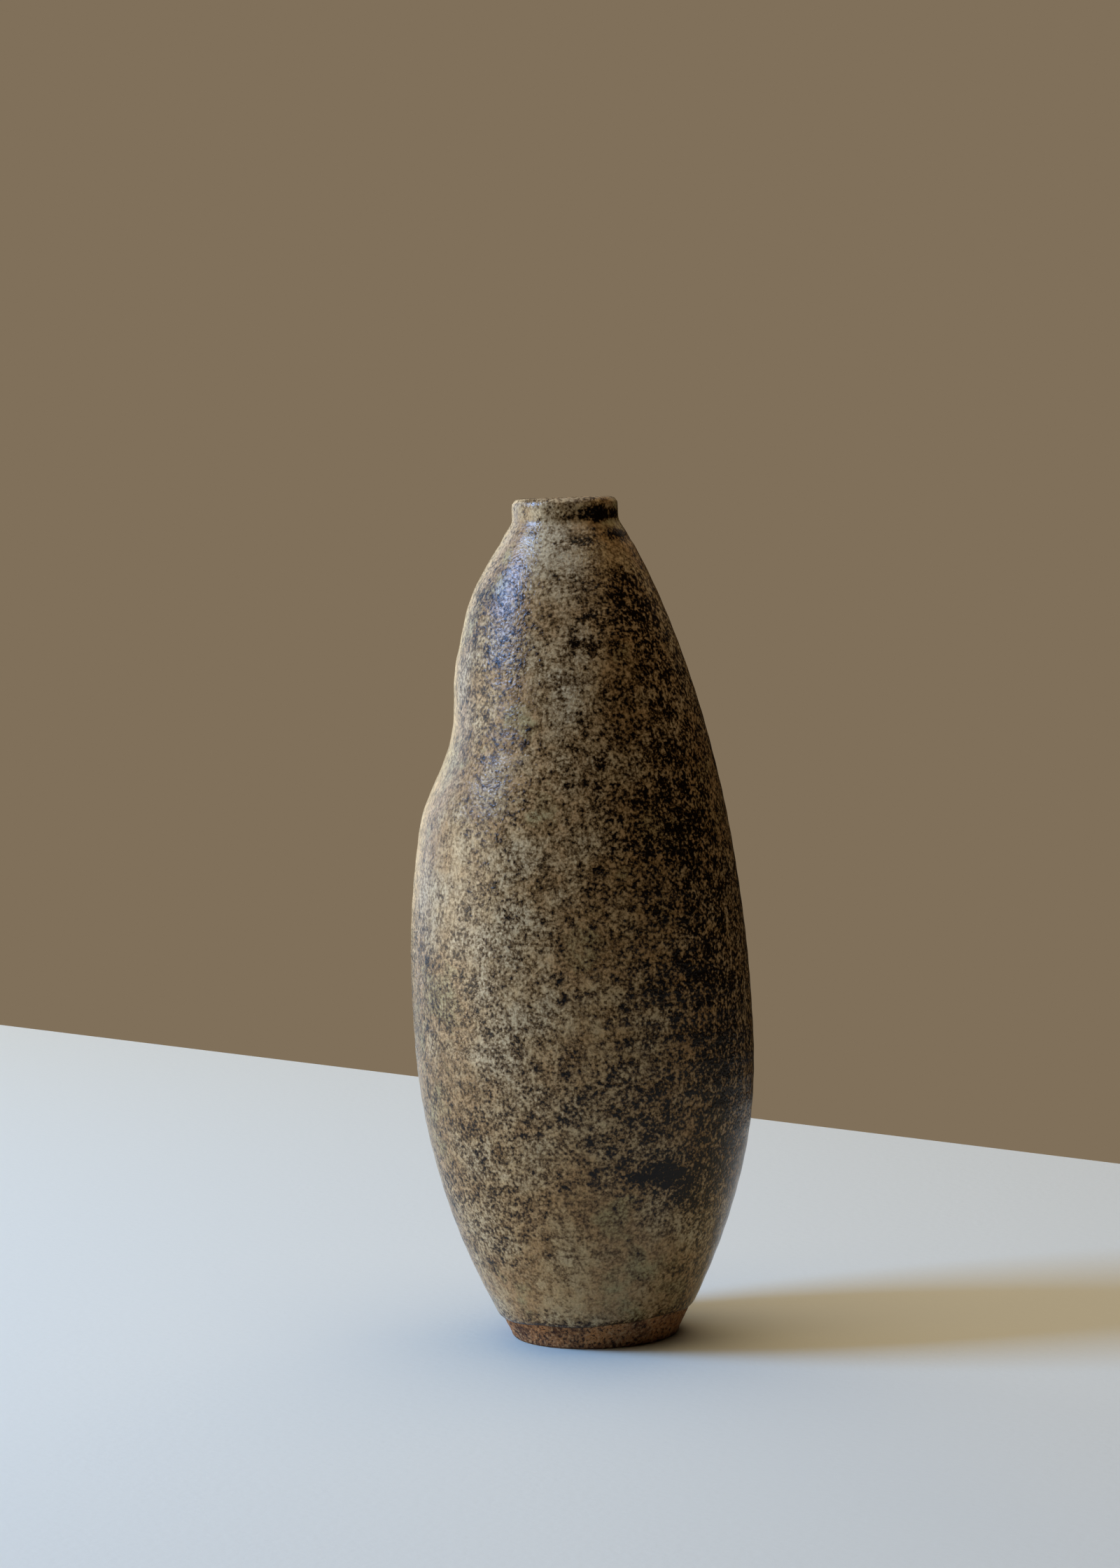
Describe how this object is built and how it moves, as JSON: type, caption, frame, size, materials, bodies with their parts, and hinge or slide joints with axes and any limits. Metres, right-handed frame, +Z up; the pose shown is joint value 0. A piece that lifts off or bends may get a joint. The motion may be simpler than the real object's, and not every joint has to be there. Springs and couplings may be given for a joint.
{
  "type": "bud vase",
  "caption": "Wheel-thrown stoneware bud vase: tall ovoid body with a thumb dent in one shoulder, short narrow collar, speckled glaze and a bare turned foot.",
  "frame": {"origin": "centre of the foot on the surface that the vase stands on", "axes": "+Z up along the vase to the mouth; the thumb dent faces -X; +X and +Y are level"},
  "size_m": [0.065, 0.0648, 0.16],
  "materials": {
    "stoneware": "bare fired clay, toasted brown, fine grog",
    "speckled_glaze": "semi-gloss oatmeal glaze with dense iron speckle",
    "liner_glaze": "gloss oatmeal liner glaze"
  },
  "bodies": {
    "root": {"clay_body": "stoneware", "outer_glaze": "speckled_glaze", "liner_glaze": "liner_glaze"}
  },
  "joints": []
}
